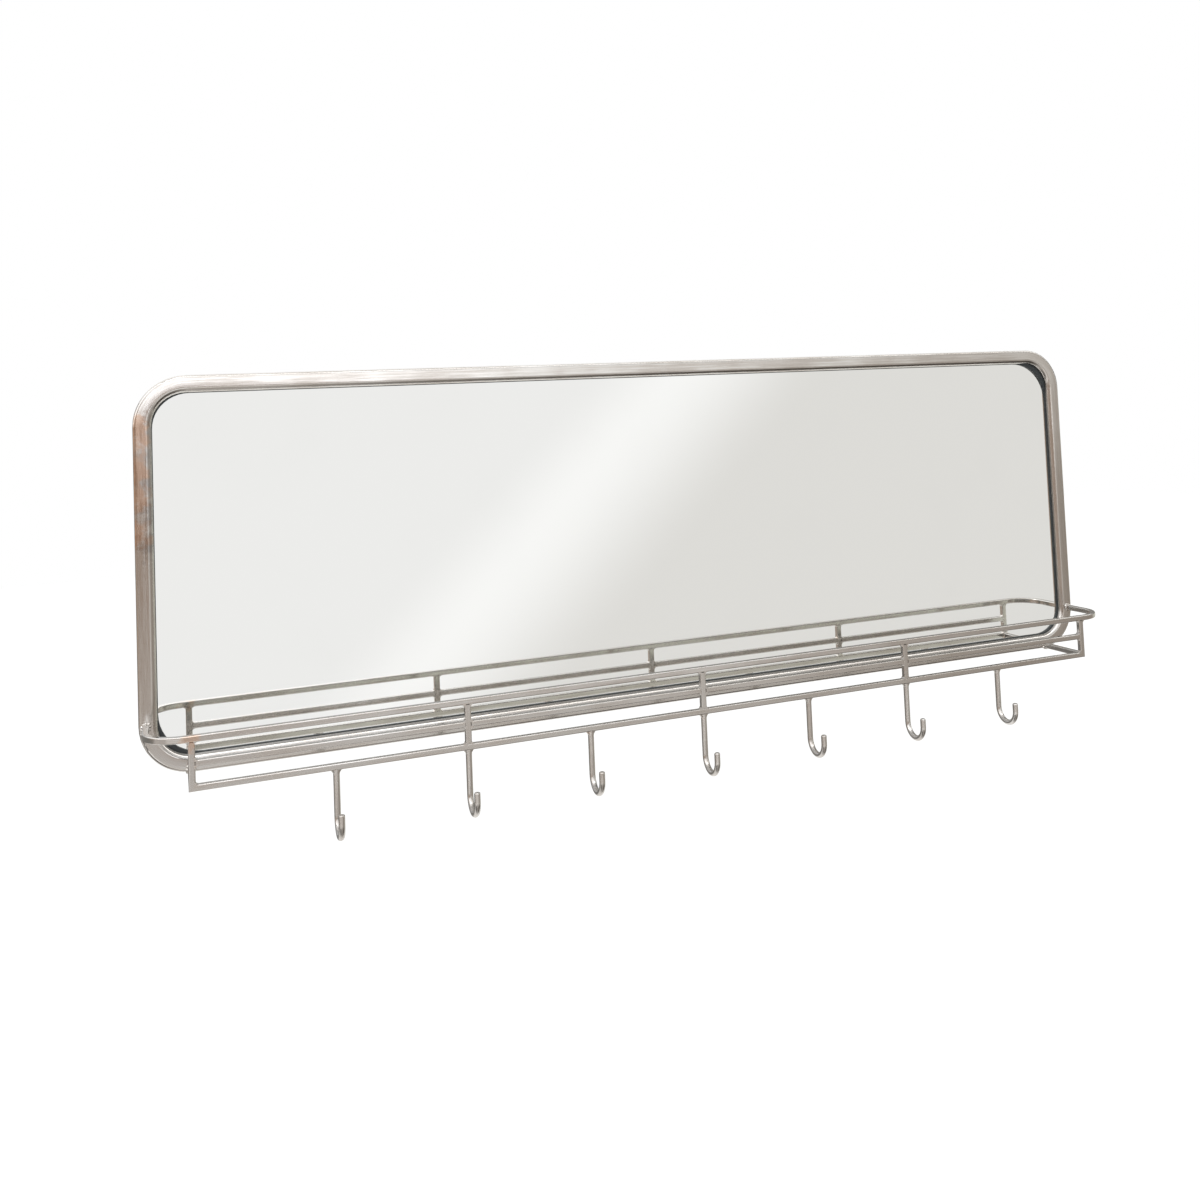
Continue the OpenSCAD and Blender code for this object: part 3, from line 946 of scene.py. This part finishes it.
def world():
    """White where the camera sees it, the studio where metal and mirror see it, and even light otherwise.

    The mirror is perfectly smooth, so rays that leave it are singular. Up to two bounces from the camera they
    see the mirror's view, and after more they see what the metal shows by way of the mirror.
    """
    bpy.context.scene.world = bpy.data.worlds.new("studio")
    bpy.context.scene.world.use_nodes = True
    graph = Graph(bpy.context.scene.world.node_tree)
    path = graph.add("ShaderNodeLightPath").outputs
    x, y, z = graph.split(graph.add("ShaderNodeTexCoord").outputs["Generated"])
    even = (0.85, 0.85, 0.85, 1.0)
    shiny = graph.math("MAXIMUM", path["Is Glossy Ray"], path["Is Transmission Ray"])
    colour = graph.blend(shiny, even, room_view(graph, x, y, z))
    seen = graph.blend(graph.math("LESS_THAN", path["Ray Depth"], 2.5), glass_view(graph, x, z),
                       mirror_view(graph, x, y, z))
    colour = graph.blend(path["Is Singular Ray"], colour, seen)
    colour = graph.blend(path["Is Camera Ray"], colour, (1.0, 1.0, 1.0, 1.0))
    light = graph.add("ShaderNodeBackground", {"Color": colour, "Strength": 1.0})
    graph.add("ShaderNodeOutputWorld", {"Surface": light.outputs[0]})


def key_lamp():
    """Wide soft lamp above and left of the camera, for the soft shadows. Metal and glass don't reflect it."""
    data = bpy.data.lights.new("soft_lamp", "AREA")
    data.shape, data.size, data.size_y, data.energy = "RECTANGLE", 1.8, 1.2, 16.0
    lamp = bpy.data.objects.new("soft_lamp", data)
    place = np.array([-0.9, -2.4, 1.5])
    lamp.location = place
    towards = TUBE_MIDDLE - place
    turn = math.atan2(towards[1], towards[0]) - math.pi / 2
    tilt = math.atan2(math.hypot(towards[0], towards[1]), -towards[2])
    lamp.rotation_euler = (tilt, 0.0, turn)
    lamp.visible_glossy = False
    bpy.context.scene.collection.objects.link(lamp)


class MIRROR_OT_stage(bpy.types.Operator):
    """Set up the camera, the light and the floor"""

    bl_idname = "mirror.stage"
    bl_label = "Stage"

    def execute(self, context):
        settings = context.scene.mirror_stage
        context.scene.view_settings.view_transform = "Standard"
        camera(settings)
        floor(settings)
        world()
        key_lamp()
        return {"FINISHED"}


class MIRROR_PT_panel(bpy.types.Panel):
    """Buttons for each group of pieces"""

    bl_idname = "MIRROR_PT_panel"
    bl_label = "Wall mirror"
    bl_space_type = "VIEW_3D"
    bl_region_type = "UI"
    bl_category = "Mirror"

    def draw(self, context):
        for operator in OPERATORS:
            self.layout.operator(operator.bl_idname)


OPERATORS = (MIRROR_OT_tube, MIRROR_OT_glass, MIRROR_OT_back, MIRROR_OT_screws, MIRROR_OT_rails,
             MIRROR_OT_hooks, MIRROR_OT_welds, MIRROR_OT_stage)
SETTINGS = {"mirror_steel": SteelSettings, "mirror_glass": MirrorSettings, "mirror_welds": WeldSettings,
            "mirror_screws": ScrewSettings, "mirror_stage": StageSettings}


def register():
    for group in (*SETTINGS.values(), *OPERATORS, MIRROR_PT_panel):
        bpy.utils.register_class(group)
    for name, group in SETTINGS.items():
        setattr(bpy.types.Scene, name, PointerProperty(type=group))


def unregister():
    for name in SETTINGS:
        delattr(bpy.types.Scene, name)
    for group in reversed((*SETTINGS.values(), *OPERATORS, MIRROR_PT_panel)):
        bpy.utils.unregister_class(group)


def main():
    """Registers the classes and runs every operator."""
    register()
    for operator in OPERATORS:
        area, name = operator.bl_idname.split(".")
        getattr(getattr(bpy.ops, area), name)()


if __name__ == "__main__":
    main()
